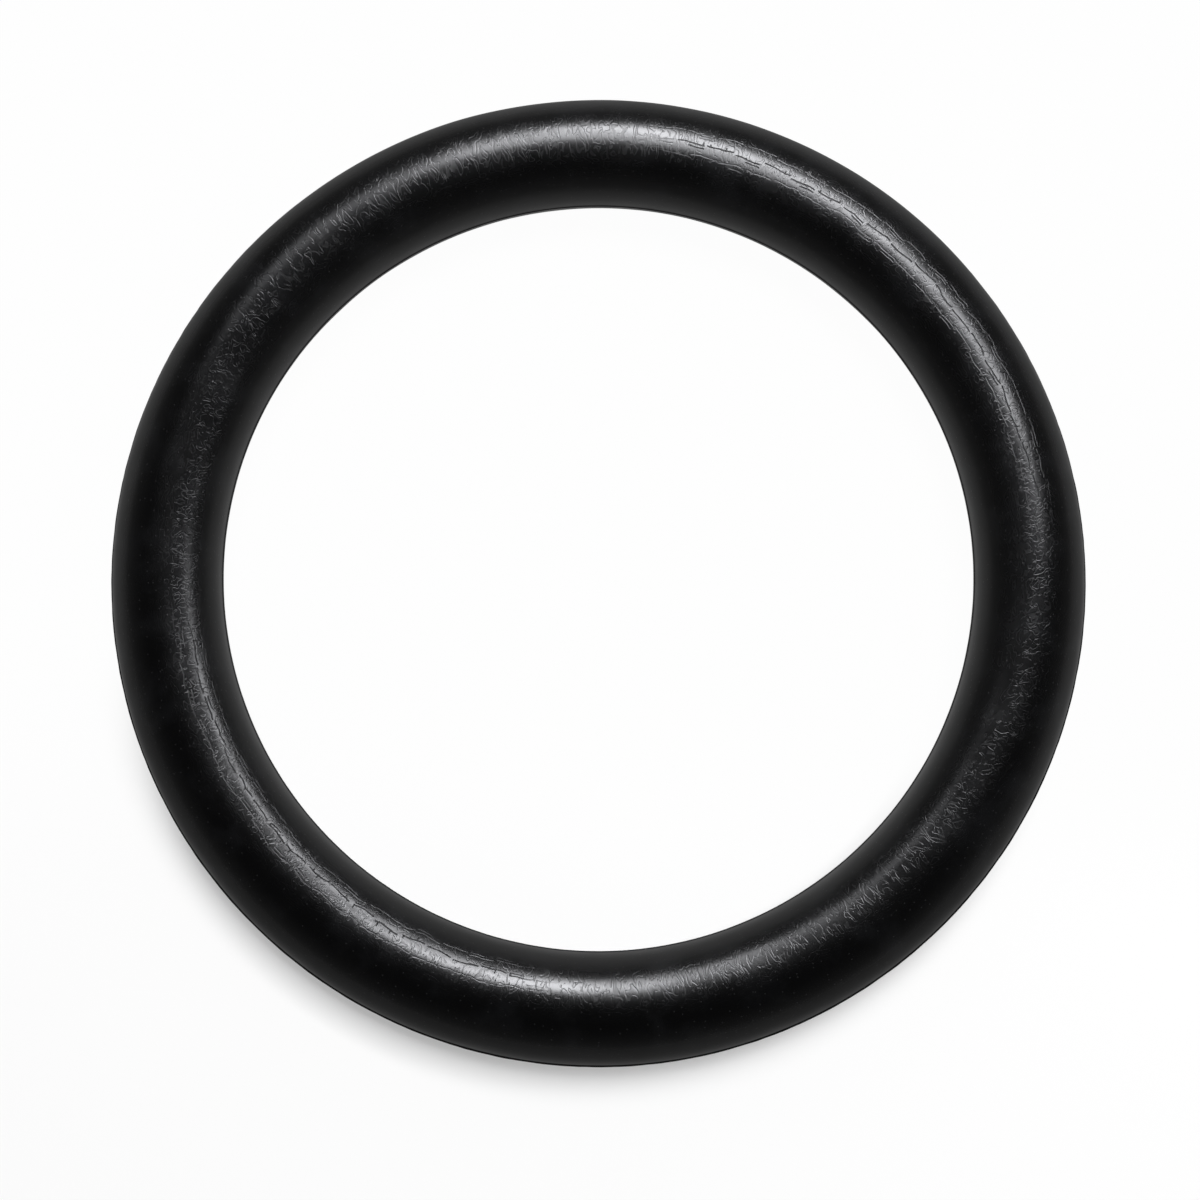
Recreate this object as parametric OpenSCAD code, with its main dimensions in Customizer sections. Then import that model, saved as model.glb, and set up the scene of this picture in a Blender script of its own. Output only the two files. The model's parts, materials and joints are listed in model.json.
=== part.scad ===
// Moulded rubber o-ring, lying flat.
// One solid: a cord of round section closed into a ring, with the thin trimmed
// flash that the two mould halves leave round its inside and its outside.
// The ring's axis is Z, and it rests on the plane z = 0.

/* [Ring] */
// Inside diameter of the ring, between the innermost points of its round section
inside_d = 24; // [12:0.5:60]
// Diameter of the round section
section_d = 3.5; // [1.5:0.1:8]

/* [Mould flash] */
// How far the trimmed flash stands proud of the round section
flash_height = 0.06; // [0.02:0.01:0.15]
// Thickness of the flash along the ring's axis
flash_thickness = 0.12; // [0.04:0.02:0.4]

/* [Quality] */
// Facets round the ring in the preview
ring_facets = 180; // [60:12:360]
// Facets round the section in the preview
section_facets = 72; // [24:12:180]

/* [Hidden] */

inside_r = inside_d / 2;
outside_r = inside_r + section_d;
centre_r = inside_r + section_d / 2;
mid_z = section_d / 2; // height of the parting plane
bore_r = inside_r - flash_height; // wall that a shaft meets first
rim_r = outside_r + flash_height; // wall that a housing meets first
overcut = 1;

// The round section turned about the ring's axis
module cord() {
    translate([0, 0, mid_z])
        rotate_extrude($fn = ring_facets)
            translate([centre_r, 0])
                circle(d = section_d, $fn = section_facets);
}

// Thin flat web on the parting plane, buried in the section but for its two edges
module flash_web() {
    translate([0, 0, mid_z])
        difference() {
            cylinder(h = flash_thickness, r = rim_r, center = true, $fn = ring_facets);
            cylinder(h = flash_thickness + 2 * overcut, r = bore_r, center = true, $fn = ring_facets);
        }
}

module o_ring() {
    color([0.035, 0.035, 0.038])
        union() {
            cord();
            flash_web();
        }
}

o_ring();
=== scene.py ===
import json
import math

import bpy
import numpy as np
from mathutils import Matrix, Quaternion, Vector


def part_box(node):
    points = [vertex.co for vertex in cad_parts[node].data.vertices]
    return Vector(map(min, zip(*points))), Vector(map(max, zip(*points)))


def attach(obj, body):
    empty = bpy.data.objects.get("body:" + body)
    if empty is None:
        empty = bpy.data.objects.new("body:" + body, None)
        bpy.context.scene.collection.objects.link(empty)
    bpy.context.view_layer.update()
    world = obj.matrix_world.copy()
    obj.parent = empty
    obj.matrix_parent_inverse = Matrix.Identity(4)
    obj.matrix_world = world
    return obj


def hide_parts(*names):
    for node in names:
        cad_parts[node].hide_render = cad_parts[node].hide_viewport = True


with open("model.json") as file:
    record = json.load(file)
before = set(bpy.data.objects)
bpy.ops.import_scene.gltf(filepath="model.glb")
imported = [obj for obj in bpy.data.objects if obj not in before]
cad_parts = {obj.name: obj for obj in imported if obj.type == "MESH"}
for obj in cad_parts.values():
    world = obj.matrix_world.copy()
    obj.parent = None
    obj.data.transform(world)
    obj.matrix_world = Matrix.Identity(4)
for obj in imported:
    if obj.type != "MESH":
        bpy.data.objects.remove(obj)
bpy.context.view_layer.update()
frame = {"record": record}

# A moulded rubber o-ring lying flat on a pale bench, seen from above.
# Lengths in the dictionaries are in millimetres, and mm turns them into metres.
mm = 0.001

# the ring's own sizes come from its two measured seats and its height
seatRadius = {m["name"]: m["dims"]["r_mm"] for m in frame["record"]["mounts"] if m["dims"]}
centreRadius = (seatRadius["shaft_seat"] + seatRadius["housing_seat"]) / 2
lowCorner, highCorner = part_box("o_ring")
sectionRadius = (highCorner[2] - lowCorner[2]) / mm / 2
flashHeight = (seatRadius["housing_seat"] - seatRadius["shaft_seat"]) / 2 - sectionRadius
print("sizes from the frame: centre radius", round(centreRadius, 3),
      "section radius", round(sectionRadius, 3), "flash", round(flashHeight, 3))


# camera

cameraShot = {
    "place": (1.0065, -8.724, 69.94),
    "aim": (0.146, -0.903, 1.75),
    "lens": 64.55,
    "sensor": 36.0,
    "clipFrom": 1.0,
    "clipTo": 5000.0,
}


def makeCamera(shot):
    data = bpy.data.cameras.new("camera")
    data.lens = shot["lens"]
    data.sensor_width = shot["sensor"]
    data.clip_start = shot["clipFrom"] * mm
    data.clip_end = shot["clipTo"] * mm
    camera = bpy.data.objects.new("camera", data)
    bpy.context.scene.collection.objects.link(camera)
    camera.location = Vector(shot["place"]) * mm
    direction = (Vector(shot["aim"]) - Vector(shot["place"])) * mm
    camera.rotation_euler = direction.to_track_quat("-Z", "Y").to_euler()
    bpy.context.scene.camera = camera


makeCamera(cameraShot)
print("camera placed")


# node helpers: a value may be a number, a colour or another node's socket

def feed(tree, socket, value):
    if isinstance(value, bpy.types.NodeSocket):
        tree.links.new(value, socket)
    else:
        socket.default_value = value


def addNode(tree, kind, values=None, **settings):
    node = tree.nodes.new(kind)
    for name, setting in settings.items():
        setattr(node, name, setting)
    for name, value in (values or {}).items():
        feed(tree, node.inputs[name], value)
    return node


def calc(tree, operation, *values, clamp=False):
    node = addNode(tree, "ShaderNodeMath", operation=operation, use_clamp=clamp)
    for i, value in enumerate(values):
        feed(tree, node.inputs[i], value)
    return node.outputs[0]


def soften(tree, value, start, end, low=0.0, high=1.0):
    # goes from low to high as value goes from start to end, with no corners
    values = {"Value": value, "From Min": start, "From Max": end, "To Min": low, "To Max": high}
    return addNode(tree, "ShaderNodeMapRange", values, interpolation_type="SMOOTHSTEP").outputs["Result"]


def mixColours(tree, share, first, second):
    # inputs 6 and 7 and output 2 are the mix node's colours
    return addNode(tree, "ShaderNodeMix", {0: share, 6: first, 7: second}, data_type="RGBA").outputs[2]


def splitPoint(tree, point):
    return addNode(tree, "ShaderNodeSeparateXYZ", {0: point}).outputs


def noise(tree, place, scale, detail):
    node = addNode(tree, "ShaderNodeTexNoise", {"Vector": place, "Scale": scale, "Detail": detail})
    return node.outputs["Fac"]


def addGroup(name, inputs, outputs):
    # an empty node group; inputs maps a name to its start value and outputs a name to its kind
    tree = bpy.data.node_groups.new(name, "ShaderNodeTree")
    for label, value in inputs.items():
        socket = tree.interface.new_socket(label, in_out="INPUT", socket_type="NodeSocketFloat")
        socket.default_value = value
    for label, kind in outputs.items():
        tree.interface.new_socket(label, in_out="OUTPUT", socket_type=kind)
    return tree, tree.nodes.new("NodeGroupInput").outputs, tree.nodes.new("NodeGroupOutput").inputs


def useGroup(tree, group, values=None):
    return addNode(tree, "ShaderNodeGroup", values, node_tree=group).outputs


# lamps, world and bench

studio = {
    # soft boxes light the rubber: turn and rise in degrees as seen from the ring, glow 1 is white
    "softboxes": {
        "key_softbox": {"turn": 87.8, "rise": 50.9, "roll": 40.8, "distance": 180.0,
                        "width": 39.0, "depth": 67.6, "glow": 55.0},
        "side_softbox": {"turn": 48.5, "rise": 51.4, "roll": 20.0, "distance": 39.0,
                         "width": 18.0, "depth": 8.5, "glow": 24.0},
        "near_softbox": {"turn": 88.1, "rise": 50.4, "roll": 80.9, "distance": 34.1,
                         "width": 7.2, "depth": 21.5, "glow": 18.5},
        "left_softbox": {"turn": 115.5, "rise": 50.0, "roll": 7.2, "distance": 60.0,
                         "width": 36.0, "depth": 16.0, "glow": 4.0},
    },
    "softboxColour": (0.96, 0.965, 1.0),
    # one lamp high above lights the bench
    "benchLamp": {"turn": 68.0, "rise": 71.0, "roll": 0.0, "distance": 320.0,
                  "width": 170.0, "depth": 130.0, "glow": 18.4},
    "benchRadius": 1500.0,
    "benchSides": 96,
    "benchColour": (0.86, 0.86, 0.86, 1),
    "benchRoughness": 0.9,
    "plainWhite": (0.99, 0.99, 0.99, 1),
    # how much of the bench is that plain white: only part of it at the front, where the ring's shadow shows,
    # and nearly all of it further back
    "frontShare": 0.4,
    "backShare": 0.985,
    "frontToBack": (-11.5, -4.0),  # where along Y the one goes over into the other
    "farWhite": (40.0, 150.0),  # this far out from the ring's middle it goes over into plain white all round
    # painted shade: the ring's gloss sees the bench's white dimmed, more outside the ring than inside, and
    # more at the front where the ring's shadow falls
    "glossWhite": (0.68, 0.47),  # how bright the ring's gloss sees it, inside and outside the ring
    "glossFade": 0.5,  # how far that follows the change from front to back
    # height of the direction in the world (sine of elevation) and its grey
    "skyStops": ((0.0, 0.9), (0.012, 0.8), (0.03, 0.3), (0.25, 0.2), (0.5, 0.12), (0.75, 0.04),
                 (1.0, 0.03)),
}


def addAreaLamp(name, lamp, colour=(1.0, 1.0, 1.0)):
    turn, rise = math.radians(lamp["turn"]), math.radians(lamp["rise"])
    direction = Vector((math.cos(rise) * math.cos(turn), math.cos(rise) * math.sin(turn), math.sin(rise)))
    data = bpy.data.lights.new(name, "AREA")
    data.shape = "RECTANGLE"
    data.size = lamp["width"] * mm
    data.size_y = lamp["depth"] * mm
    data.energy = lamp["glow"] * math.pi * data.size * data.size_y
    data.color = colour
    made = bpy.data.objects.new(name, data)
    bpy.context.scene.collection.objects.link(made)
    made.location = direction * lamp["distance"] * mm
    facing = (-direction).to_track_quat("-Z", "Y") @ Quaternion((0, 0, 1), math.radians(lamp["roll"]))
    made.rotation_euler = facing.to_euler()
    return made


def addLamps(setup):
    for name, lamp in setup["softboxes"].items():
        softbox = addAreaLamp(name, lamp, setup["softboxColour"])
        softbox.visible_diffuse = False  # kept off the bench, which stays evenly pale
        softbox.visible_camera = False
    addAreaLamp("bench_lamp", setup["benchLamp"]).visible_glossy = False  # makes no highlight on the ring


def makeWorld(setup):
    world = bpy.data.worlds.new("studio")
    bpy.context.scene.world = world
    world.use_nodes = True
    tree = world.node_tree
    tree.nodes.clear()
    direction = addNode(tree, "ShaderNodeTexCoord").outputs["Generated"]
    room = addNode(tree, "ShaderNodeValToRGB", {"Fac": splitPoint(tree, direction)["Z"]})
    stops = room.color_ramp.elements
    for i, (height, grey) in enumerate(setup["skyStops"]):
        stop = stops[i] if i < 2 else stops.new(height)  # a new ramp has two stops
        stop.position = height
        stop.color = (grey, grey, grey, 1)
    # the camera sees the room as plain white, like the far bench
    ray = addNode(tree, "ShaderNodeLightPath").outputs
    seen = mixColours(tree, ray["Is Camera Ray"], room.outputs["Color"], setup["plainWhite"])
    back = addNode(tree, "ShaderNodeBackground", {"Color": seen})
    addNode(tree, "ShaderNodeOutputWorld", {"Surface": back.outputs[0]})


def benchMaterial(setup):
    material = bpy.data.materials.new("pale bench")
    material.use_nodes = True
    tree = material.node_tree
    lit = tree.nodes["Principled BSDF"]
    lit.inputs["Base Color"].default_value = setup["benchColour"]
    lit.inputs["Roughness"].default_value = setup["benchRoughness"]
    lit.inputs["Specular IOR Level"].default_value = 0.0
    spot = addNode(tree, "ShaderNodeTexCoord").outputs["Object"]
    fromMiddle = addNode(tree, "ShaderNodeVectorMath", {0: spot}, operation="LENGTH").outputs["Value"]
    ray = addNode(tree, "ShaderNodeLightPath").outputs
    toGloss = ray["Is Glossy Ray"]

    # the camera sees its share of plain white, and the ring's gloss sees nothing else
    front, back = setup["frontToBack"]
    frontToBack = soften(tree, splitPoint(tree, spot)["Y"], front * mm, back * mm,
                         setup["frontShare"], setup["backShare"])
    farStart, farEnd = setup["farWhite"]
    far = soften(tree, fromMiddle, farStart * mm, farEnd * mm)
    share = calc(tree, "MAXIMUM", calc(tree, "MAXIMUM", frontToBack, far), toGloss)
    seen = calc(tree, "MAXIMUM", ray["Is Camera Ray"], toGloss)
    seen = calc(tree, "MAXIMUM", seen, ray["Is Transmission Ray"])
    share = calc(tree, "MULTIPLY", seen, share)

    # painted shade in the ring's reflection: for the gloss, the bench's white is dimmed outside the ring and
    # towards the front
    inside, outside = setup["glossWhite"]
    ringFrom, ringTo = centreRadius - sectionRadius, centreRadius + sectionRadius
    dimmed = soften(tree, fromMiddle, ringFrom * mm, ringTo * mm, inside, outside)
    followed = calc(tree, "MULTIPLY_ADD", frontToBack, setup["glossFade"], 1 - setup["glossFade"])
    dimmed = calc(tree, "MULTIPLY", dimmed, followed)
    strength = addNode(tree, "ShaderNodeMix", {"Factor": toGloss, "A": 1.0, "B": dimmed}).outputs["Result"]
    white = addNode(tree, "ShaderNodeEmission", {"Color": setup["plainWhite"], "Strength": strength})
    mixed = addNode(tree, "ShaderNodeMixShader", {0: share, 1: lit.outputs[0], 2: white.outputs[0]})
    feed(tree, tree.nodes["Material Output"].inputs["Surface"], mixed.outputs[0])
    return material


def makeBench(setup):
    radius = setup["benchRadius"] * mm
    edge = [(radius * math.cos(a), radius * math.sin(a), 0.0)
            for a in np.linspace(0, 2 * math.pi, setup["benchSides"], endpoint=False)]
    mesh = bpy.data.meshes.new("bench")
    mesh.from_pydata(edge, [], [list(range(len(edge)))])
    mesh.materials.append(benchMaterial(setup))
    bench = bpy.data.objects.new("bench", mesh)
    bpy.context.scene.collection.objects.link(bench)


addLamps(studio)
makeWorld(studio)
makeBench(studio)
bpy.context.scene.view_settings.view_transform = "Standard"
print("studio set")


# the ring's mesh

ringMesh = {
    "stepsRound": 960,
    "sectionSteps": 72,
    # the flash line: a low rim all round, on the outside and on the inside
    "flashWidth": 0.12,
    "flashEdge": 0.035,  # how softly the flash rises from the section
    "flashSteps": (0.022, 0.04, 0.054, 0.068, 0.085, 0.12),  # mesh lines to either side of its middle
    "flashMargin": 1.3,  # the even lines start this many times further out than the last of them
    "innerFlash": 0.45,  # the inner flash is trimmed lower than the outer one
    # the trimming leaves between 0.8 and 1 of the flash, in waves that are lower the shorter they are
    "trimLeft": 0.9,
    "trimVaries": 0.1,
    "trimWaves": 40,
    "trimWavesRound": (5, 240),
    "trimEvenness": 10,
    # slow unevenness of the moulded surface
    "waves": 70,
    "waveHeight": 0.012,
    "waveLengths": (1.2, 7.0),
    "waveFade": 4.0,  # how quickly it comes in from the flash lines, where there is none
    "strips": 3,  # the skin is unrolled into this many, with a narrow margin round each
    "stripMargin": (0.005, 0.01),
    "seed": 5,
}


def sectionRolls(size):
    # angles round the section, from the inside over the bottom, the outside and the top back to the inside,
    # closer together on the flash lines
    steps = size["sectionSteps"]
    even = np.arange(steps) / steps * 2 * math.pi - math.pi
    flash = np.array([-a for a in reversed(size["flashSteps"])] + [0.0] + list(size["flashSteps"]))
    flash = flash / sectionRadius
    clear = flash[-1] * size["flashMargin"]
    keep = [a for a in even if min(abs(a), math.pi - abs(a)) > clear]
    return np.sort(np.array(keep + list(flash) + [a % (2 * math.pi) - math.pi for a in flash]))


def trimmedFlash(size, rng, turns):
    # share of the flash left standing, all round
    left = np.zeros_like(turns)
    for _ in range(size["trimWaves"]):
        wavesRound = rng.integers(*size["trimWavesRound"])
        height = rng.normal() / (size["trimEvenness"] + wavesRound)
        left += height * np.cos(wavesRound * turns + rng.uniform(0, 2 * math.pi))
    return size["trimLeft"] + size["trimVaries"] * left / np.abs(left).max()


def surfaceSwell(size, rng, turn, roll):
    # waves that close on themselves in both directions; they only take away, and nothing on the flash lines
    swell = np.zeros_like(turn)
    for _ in range(size["waves"]):
        length = rng.uniform(*size["waveLengths"])
        heading = rng.uniform(0, 2 * math.pi)
        along = round(2 * math.pi * centreRadius * math.cos(heading) / length)
        around = round(2 * math.pi * sectionRadius * math.sin(heading) / length)
        swell += length * np.cos(along * turn + around * roll + rng.uniform(0, 2 * math.pi))
    swell *= size["waveHeight"] / np.abs(swell).max()
    return (swell - size["waveHeight"]) * np.clip(np.abs(np.sin(roll)) * size["waveFade"], 0, 1)


def unrollSkin(size, mesh, rolls, i, j):
    # each strip of the UV map holds an equal part of the ring
    perStrip = size["stepsRound"] // size["strips"]
    strip = i // perStrip
    left, right = (i - strip * perStrip) / perStrip, (i + 1 - strip * perStrip) / perStrip
    low = (rolls[j] + math.pi) / (2 * math.pi)
    high = (np.append(rolls, rolls[0] + 2 * math.pi)[j + 1] + math.pi) / (2 * math.pi)
    alongMargin, acrossMargin = size["stripMargin"]
    u = np.stack([left, right, right, left], -1) * (1 - 2 * alongMargin) + alongMargin
    v = np.stack([low, low, high, high], -1) * (1 - 2 * acrossMargin) + acrossMargin
    v = (strip[..., None] + v) / size["strips"]
    flat = mesh.uv_layers.new(name="OFBake")
    flat.data.foreach_set("uv", np.stack([u, v], -1).ravel())


def buildRing(size):
    # turn is the angle round the ring and roll the one round its section
    rng = np.random.default_rng(size["seed"])
    rolls = sectionRolls(size)
    turns = np.arange(size["stepsRound"]) / size["stepsRound"] * 2 * math.pi
    turn, roll = np.meshgrid(turns, rolls, indexing="ij")
    swell = surfaceSwell(size, rng, turn, roll)

    # the flash rises smoothly within its width, up to what the trimming left
    outer = trimmedFlash(size, rng, turns)[:, None]
    inner = trimmedFlash(size, rng, turns)[:, None] * size["innerFlash"]
    flash = np.where(np.cos(roll) > 0, outer, inner) * flashHeight
    offPlane = np.abs(np.sin(roll)) * sectionRadius
    rise = np.clip((size["flashWidth"] / 2 + size["flashEdge"] / 2 - offPlane) / size["flashEdge"], 0, 1)
    radius = sectionRadius + swell + rise * rise * (3 - 2 * rise) * flash

    x = (centreRadius + radius * np.cos(roll)) * np.cos(turn)
    y = (centreRadius + radius * np.cos(roll)) * np.sin(turn)
    z = sectionRadius + radius * np.sin(roll)
    verts = np.stack([x, y, z], -1).reshape(-1, 3) * mm
    count, perSection = len(turns), len(rolls)
    i, j = np.meshgrid(np.arange(count), np.arange(perSection), indexing="ij")
    here, onwards = i * perSection, (i + 1) % count * perSection
    up = (j + 1) % perSection
    faces = np.stack([here + j, onwards + j, onwards + up, here + up], -1).reshape(-1, 4)
    mesh = bpy.data.meshes.new("o_ring_skin")
    mesh.from_pydata(verts.tolist(), [], faces.tolist())
    mesh.shade_smooth()
    unrollSkin(size, mesh, rolls, i, j)
    made = bpy.data.objects.new("o_ring_skin", mesh)
    bpy.context.scene.collection.objects.link(made)
    return made


ring = buildRing(ringMesh)
print("ring built:", len(ring.data.polygons), "faces")


# the rubber and its fine marks

# angles in degrees: round the section 0 is the outside, 90 the top and 180 the inside, and sides of the ring
# are counted round it from +X
crest = {
    "middle": 102.75,  # the crest line, which the crease follows
    "swing": 16.5,  # how far it swings out and in
    "outTurn": 65.0,  # it lies further out on this side of the ring and further in on the opposite one
    "outReach": 4.0,  # how quickly it goes over from one to the other
    "creaseTurn": 50.0,  # the crease shows on this side and on the opposite one
    "arcTurn": 110.0,  # the grooves cross the band in arcs on this side and on the opposite one
    "bandMiddle": 100.0,  # the marked band runs halfway between the crest line and this
}


def ringPlaceGroup():
    # where a point lies on the ring: lengths in millimetres, From Top in radians, and two cosines
    tree, _, out = addGroup("ring place", {}, {"Point": "NodeSocketVector", "Along": "NodeSocketFloat",
                                               "Across": "NodeSocketFloat", "Band": "NodeSocketFloat",
                                               "From Top": "NodeSocketFloat", "Creased": "NodeSocketFloat",
                                               "Arcs": "NodeSocketFloat"})
    place = addNode(tree, "ShaderNodeTexCoord").outputs["Object"]
    scaled = addNode(tree, "ShaderNodeVectorMath", {0: place, 1: (1 / mm, 1 / mm, 1 / mm)},
                     operation="MULTIPLY")
    x, y, z = splitPoint(tree, scaled.outputs[0])
    reach = calc(tree, "SQRT", calc(tree, "ADD", calc(tree, "MULTIPLY", x, x), calc(tree, "MULTIPLY", y, y)))
    turn = calc(tree, "ARCTAN2", y, x)
    roll = calc(tree, "ARCTAN2", calc(tree, "SUBTRACT", z, sectionRadius),
                calc(tree, "SUBTRACT", reach, centreRadius))

    def turnedFrom(side, times=1.0):
        fromSide = calc(tree, "SUBTRACT", turn, math.radians(crest[side]))
        return calc(tree, "COSINE", calc(tree, "MULTIPLY", fromSide, times))

    def awayFrom(angle):
        return calc(tree, "MULTIPLY", calc(tree, "SUBTRACT", roll, angle), sectionRadius)

    swing = calc(tree, "MULTIPLY", turnedFrom("outTurn"), crest["outReach"])
    swing = calc(tree, "MAXIMUM", calc(tree, "MINIMUM", swing, 1.0), -1.0)
    line = calc(tree, "MULTIPLY_ADD", swing, -math.radians(crest["swing"]), math.radians(crest["middle"]))
    middle = calc(tree, "MULTIPLY_ADD", line, 0.5, math.radians(crest["bandMiddle"]) / 2)
    feed(tree, out["Point"], scaled.outputs[0])
    feed(tree, out["Along"], calc(tree, "MULTIPLY", turn, centreRadius))
    feed(tree, out["Across"], awayFrom(line))
    feed(tree, out["Band"], awayFrom(middle))
    feed(tree, out["From Top"], calc(tree, "SUBTRACT", roll, math.pi / 2))
    feed(tree, out["Creased"], turnedFrom("creaseTurn", 2.0))
    feed(tree, out["Arcs"], turnedFrom("arcTurn", 2.0))
    return tree


relief = {
    "cellAlong": 0.25,  # size of the hills whose contour lines the grooves are
    "bend": 0.4,
    "turnedCell": (0.55, 0.24),  # the same along and across where the grooves run along the ring
    "steps": 4.2,  # contour lines from the lowest to the highest ground
    "line": 0.19,  # from a groove's middle to its edge, as a share of a step
    "ripples": 1.0,  # fine ripples to each groove
    # the grooves break off outside patches of this size, and a higher cover keeps more of them
    "patch": (0.44, 0.4),
    "cover": 0.72,
    "patchEdge": 0.04,
}


def reliefGroup():
    # curved grooves like the contour lines of a map, broken into pieces, with finer ripples between them
    inputs = {"Along": 0.0, "Across": 0.0, "Cell Across": 0.4, "Turned": 0.0}
    outputs = {"Line": "NodeSocketFloat", "Ripple": "NodeSocketFloat"}
    tree, ins, out = addGroup("fine relief", inputs, outputs)

    def flatNoise(along, across, bend=0.0):
        spot = addNode(tree, "ShaderNodeCombineXYZ", {"X": calc(tree, "DIVIDE", ins["Along"], along),
                                                      "Y": calc(tree, "DIVIDE", ins["Across"], across)})
        node = addNode(tree, "ShaderNodeTexNoise", {"Vector": spot.outputs[0], "Scale": 1.0, "Detail": 1.0,
                                                    "Distortion": bend}, noise_dimensions="2D")
        return node.outputs["Fac"]

    upright = flatNoise(relief["cellAlong"], ins["Cell Across"], relief["bend"])
    lying = flatNoise(*relief["turnedCell"])
    hills = calc(tree, "MULTIPLY_ADD", calc(tree, "SUBTRACT", lying, upright), ins["Turned"], upright)
    level = calc(tree, "MULTIPLY", hills, relief["steps"])
    away = calc(tree, "ABSOLUTE", calc(tree, "SUBTRACT", calc(tree, "FRACT", level), 0.5))
    groove = soften(tree, away, relief["line"], 0.0)
    edge = 1 - relief["cover"]
    kept = soften(tree, flatNoise(*relief["patch"]), edge - relief["patchEdge"], edge + relief["patchEdge"])
    feed(tree, out["Line"], calc(tree, "MULTIPLY", groove, kept))
    waves = calc(tree, "MULTIPLY", level, 2 * math.pi * relief["ripples"])
    feed(tree, out["Ripple"], calc(tree, "SINE", waves))
    return tree


ladder = {
    "line": 0.0266,  # from a line's middle to its edge
    "pieceLength": 0.95,
    "pieceShift": 0.3,
    "wander": 0.12,  # how far pieces step to either side
    "pieceStart": 0.16,  # the latest start and the end of a piece, as shares of its length
    "pieceEnd": 0.98,
    # this share of the pieces is doubled, up to this share of their length, by a line this much further in
    "doubled": 0.35,
    "doubledEnd": 0.6,
    "doubledStep": 0.1,
    # small ticks across, at this share of the places for one; most of them reach outwards
    "ticked": 0.55,
    "tickSpacing": 0.23,
    "tickShift": 0.7,
    "tickFrom": 0.25,  # the middle half of its place is where a tick may stand
    "tickLength": 0.26,
    "tickOutwards": 0.6,
    "tickLeast": 0.03,
    "crooked": 0.15,  # how far the whole line strays to either side, and the scale and detail of its bends
    "crookedNoise": (1.2, 2.0),
    # further lines beside the first: how far across, how far along their pieces are shifted, how deep
    "others": ((-0.4, 57.3, 0.5), (0.34, 91.7, 0.4)),
}


def ladderGroup():
    # a long crease: short straight pieces, some doubled, with small ticks across
    tree, ins, out = addGroup("crease ladder", {"Along": 0.0, "Across": 0.0}, {"Line": "NodeSocketFloat"})
    across = ins["Across"]

    def both(first, second):
        return calc(tree, "MULTIPLY", first, second)

    def pick(spacing, shift):
        # how far a point is along its own piece, and three random numbers for that piece
        scaled = calc(tree, "MULTIPLY_ADD", ins["Along"], 1 / spacing, shift)
        index = calc(tree, "FLOOR", scaled)
        random = addNode(tree, "ShaderNodeTexWhiteNoise", {"W": index}, noise_dimensions="1D")
        parts = addNode(tree, "ShaderNodeSeparateColor", {0: random.outputs["Color"]})
        return calc(tree, "FRACT", scaled), *parts.outputs

    def thin(away):
        return soften(tree, calc(tree, "ABSOLUTE", away), ladder["line"], 0.0)

    share, sideways, late, isDoubled = pick(ladder["pieceLength"], ladder["pieceShift"])
    step = both(calc(tree, "SUBTRACT", sideways, 0.5), ladder["wander"])
    started = calc(tree, "GREATER_THAN", share, both(late, ladder["pieceStart"]))
    whole = both(started, calc(tree, "LESS_THAN", share, ladder["pieceEnd"]))
    first = both(thin(calc(tree, "SUBTRACT", across, step)), whole)
    doubled = both(calc(tree, "GREATER_THAN", isDoubled, 1 - ladder["doubled"]),
                   calc(tree, "LESS_THAN", share, ladder["doubledEnd"]))
    beside = calc(tree, "SUBTRACT", across, calc(tree, "ADD", step, ladder["doubledStep"]))
    second = both(thin(beside), both(doubled, whole))

    share, sideways, longer, isTicked = pick(ladder["tickSpacing"], ladder["tickShift"])
    spread = 1 - 2 * ladder["tickFrom"]
    stands = calc(tree, "MULTIPLY_ADD", sideways, spread, ladder["tickFrom"])
    tick = thin(both(calc(tree, "SUBTRACT", share, stands), ladder["tickSpacing"]))
    length = both(calc(tree, "SUBTRACT", longer, ladder["tickOutwards"]), ladder["tickLength"])
    low = calc(tree, "ADD", step, calc(tree, "MINIMUM", length, -ladder["tickLeast"]))
    high = calc(tree, "ADD", step, calc(tree, "MAXIMUM", length, ladder["tickLeast"]))
    reach = both(calc(tree, "GREATER_THAN", across, low), calc(tree, "LESS_THAN", across, high))
    ticks = both(both(tick, reach), calc(tree, "GREATER_THAN", isTicked, 1 - ladder["ticked"]))
    feed(tree, out["Line"], calc(tree, "MAXIMUM", calc(tree, "MAXIMUM", first, second), ticks))
    return tree


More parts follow.
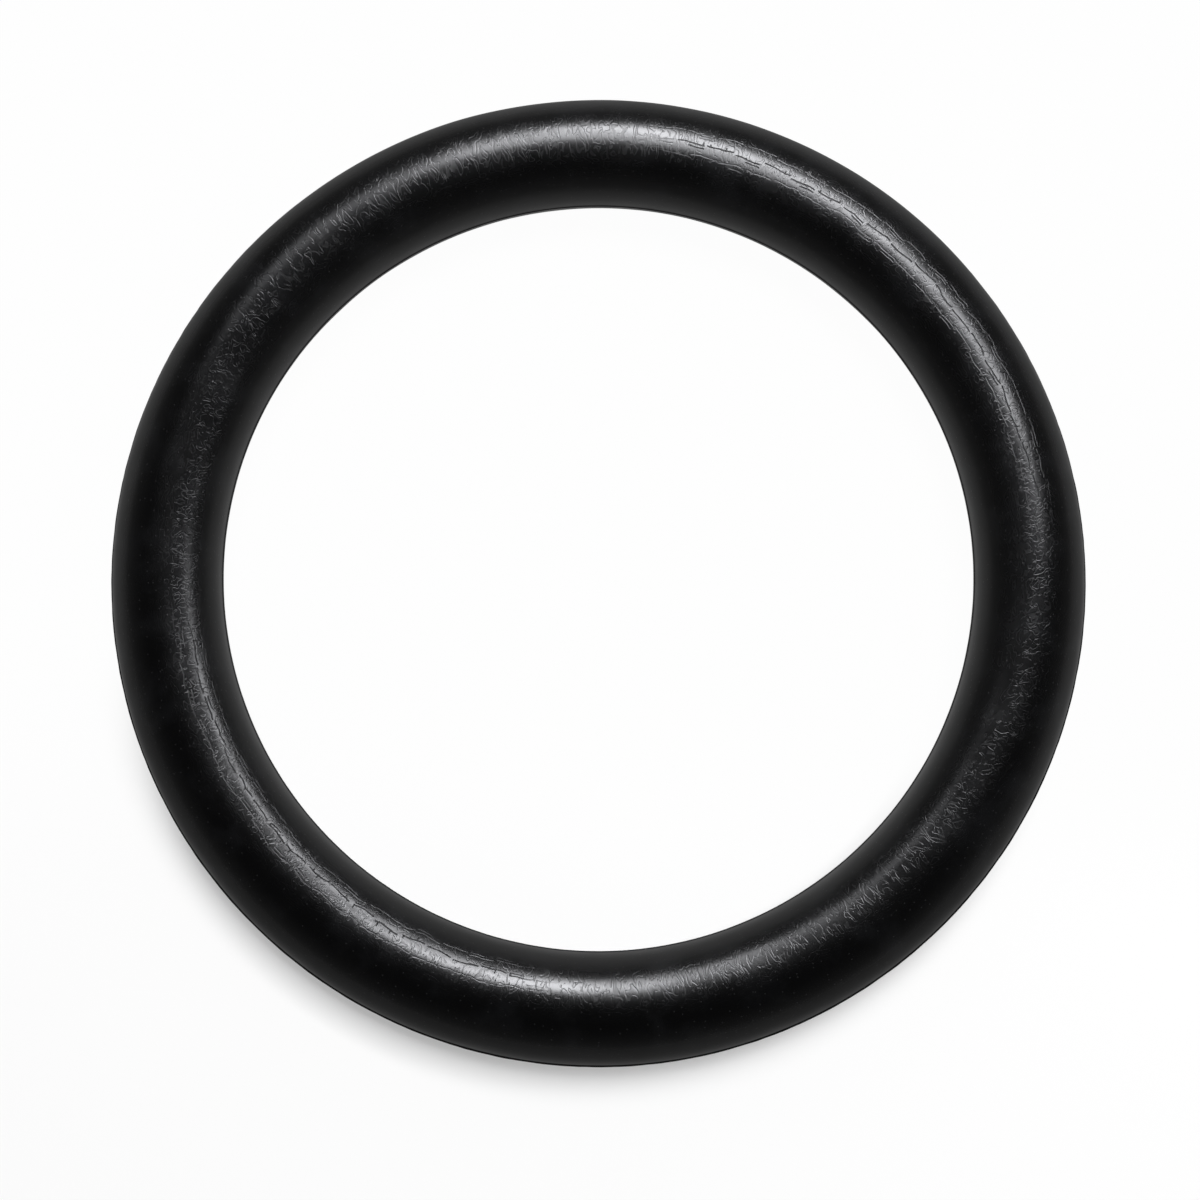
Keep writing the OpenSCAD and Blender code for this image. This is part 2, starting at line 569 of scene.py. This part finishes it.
# each noise is given by its scale and detail
rubberLook = {
    "colour": (0.0013, 0.0013, 0.0014, 1),
    "dustColour": (0.0038, 0.0039, 0.0043, 1),
    "dustNoise": (0.8, 3.0),
    "dustFrom": (0.45, 0.75),  # levels of that noise between which the dusting comes in
    "shine": 0.25,
    # roughness on the crest and on the outer and inner flank, and the angle from the top, in radians, over
    # which it goes from one to the other
    "crestGloss": 0.256,
    "outerGloss": 0.43,
    "innerGloss": 0.36,
    "flankFrom": (0.65, 1.0),
    "glossVaries": 0.1,
    "glossNoise": (1.1, 2.0),
    # the grooves, their ripples and the crease
    "grooveDepth": 0.0021,
    "grooveGloss": 0.08,  # added roughness
    "rippleHeight": 0.00025,
    "creaseDepth": 0.0085,
    "creaseGloss": 0.3,
    "creaseFrom": (0.1, 0.5),  # cosines between which the crease and the arcs come in along the ring
    "arcsFrom": (0.0, 0.5),
    "cellAcross": (0.3, 0.6),  # length of the grooves across the ring, away from the arcs and in them
    "bandEdge": (1.3, 0.7),  # distances from the band's middle between which its marks come in
    "crestEdge": (0.3, 0.75),  # distances from the crest line over which grooves turn to run along the ring
    "arcsWiden": 0.2,  # added to them where the arcs are
    "edgeLoss": 0.55,  # how much weaker the marks are beyond
    "creaseTurned": 0.2,  # how far the grooves turn beside the crease
    "calmStrength": 0.9,  # strength of the marks where there is neither a crease nor arcs
    # specks that stand proud, at this share of the places for one
    "specked": 0.38,
    "speckScale": 3.6,
    "speckEdge": (0.12, 0.02),
    "speckColour": (0.011, 0.011, 0.0115, 1),
    "speckHeight": 0.0028,
    "swellHeight": 0.005,
    "swellNoise": (1.6, 1.0),
}


def surfaceMarks(tree, look, where):
    # grooves in arcs across the band on two opposite quarters, creases along it on the next two, and between
    # them a calmer mixture
    along, across = where["Along"], where["Across"]
    creased = soften(tree, where["Creased"], *look["creaseFrom"])
    arcs = soften(tree, where["Arcs"], *look["arcsFrom"])
    offCrest = calc(tree, "MULTIPLY_ADD", arcs, -look["arcsWiden"], calc(tree, "ABSOLUTE", across))
    offCrest = soften(tree, offCrest, *look["crestEdge"])
    turned = calc(tree, "MAXIMUM", offCrest, calc(tree, "MULTIPLY", creased, look["creaseTurned"]))
    short, long = look["cellAcross"]
    cellAcross = calc(tree, "MULTIPLY_ADD", arcs, long - short, short)
    marks = useGroup(tree, reliefGroup(), {"Along": along, "Across": across, "Turned": turned,
                                           "Cell Across": cellAcross})
    calm = look["calmStrength"]
    strong = calc(tree, "MULTIPLY_ADD", calc(tree, "MAXIMUM", creased, arcs), 1 - calm, calm)
    inBand = soften(tree, calc(tree, "ABSOLUTE", where["Band"]), *look["bandEdge"])
    strong = calc(tree, "MULTIPLY", strong, inBand)
    strong = calc(tree, "MULTIPLY", strong, calc(tree, "MULTIPLY_ADD", offCrest, -look["edgeLoss"], 1.0))
    grooves = calc(tree, "MULTIPLY", marks["Line"], strong)
    ripples = calc(tree, "MULTIPLY", marks["Ripple"], strong)

    line = ladderGroup()
    bends = noise(tree, where["Point"], *ladder["crookedNoise"])
    crooked = calc(tree, "MULTIPLY_ADD", bends, 2 * ladder["crooked"], -ladder["crooked"])
    crooked = calc(tree, "ADD", across, crooked)
    crease = useGroup(tree, line, {"Along": along, "Across": crooked})["Line"]
    for side, shift, depth in ladder["others"]:
        other = useGroup(tree, line, {"Along": calc(tree, "ADD", along, shift),
                                      "Across": calc(tree, "SUBTRACT", crooked, side)})["Line"]
        crease = calc(tree, "MAXIMUM", crease, calc(tree, "MULTIPLY", other, depth))
    return grooves, ripples, calc(tree, "MULTIPLY", crease, creased)


def specks(tree, look, where):
    spot = addNode(tree, "ShaderNodeCombineXYZ", {"X": where["Along"], "Y": where["Across"]}).outputs[0]
    dots = addNode(tree, "ShaderNodeTexVoronoi", {"Vector": spot, "Scale": look["speckScale"]},
                   voronoi_dimensions="2D")
    random = addNode(tree, "ShaderNodeSeparateColor", {0: dots.outputs["Color"]}).outputs[0]
    kept = calc(tree, "GREATER_THAN", random, 1 - look["specked"])
    return calc(tree, "MULTIPLY", soften(tree, dots.outputs["Distance"], *look["speckEdge"]), kept)


def rubberMaterial(look):
    material = bpy.data.materials.new("black rubber")
    material.use_nodes = True
    tree = material.node_tree
    shader = tree.nodes["Principled BSDF"]
    shader.inputs["Specular IOR Level"].default_value = look["shine"]
    where = useGroup(tree, ringPlaceGroup())
    point = where["Point"]
    grooves, ripples, crease = surfaceMarks(tree, look, where)
    speck = specks(tree, look, where)

    # heights in millimetres
    height = calc(tree, "MULTIPLY", grooves, -look["grooveDepth"])
    height = calc(tree, "MULTIPLY_ADD", ripples, look["rippleHeight"], height)
    height = calc(tree, "MULTIPLY_ADD", crease, -look["creaseDepth"], height)
    height = calc(tree, "MULTIPLY_ADD", speck, look["speckHeight"], height)
    swell = noise(tree, point, *look["swellNoise"])
    height = calc(tree, "MULTIPLY_ADD", swell, look["swellHeight"], height)
    bump = addNode(tree, "ShaderNodeBump", {"Height": height, "Strength": 1.0, "Distance": mm})
    feed(tree, shader.inputs["Normal"], bump.outputs[0])

    inside = calc(tree, "GREATER_THAN", where["From Top"], 0.0)
    flank = calc(tree, "MULTIPLY_ADD", inside, look["innerGloss"] - look["outerGloss"], look["outerGloss"])
    flankStart, flankEnd = look["flankFrom"]
    gloss = soften(tree, calc(tree, "ABSOLUTE", where["From Top"]), flankStart, flankEnd,
                   look["crestGloss"], flank)
    uneven = noise(tree, point, *look["glossNoise"])
    gloss = calc(tree, "ADD", gloss, -look["glossVaries"] / 2)
    gloss = calc(tree, "MULTIPLY_ADD", uneven, look["glossVaries"], gloss)
    gloss = calc(tree, "MULTIPLY_ADD", grooves, look["grooveGloss"], gloss)
    gloss = calc(tree, "MULTIPLY_ADD", crease, look["creaseGloss"], gloss, clamp=True)
    feed(tree, shader.inputs["Roughness"], gloss)

    patches = soften(tree, noise(tree, point, *look["dustNoise"]), *look["dustFrom"])
    dusty = mixColours(tree, patches, look["colour"], look["dustColour"])
    feed(tree, shader.inputs["Base Color"], mixColours(tree, speck, dusty, look["speckColour"]))
    return material


ring.data.materials.append(rubberMaterial(rubberLook))
print("rubber made")

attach(ring, "root")
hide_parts("o_ring")
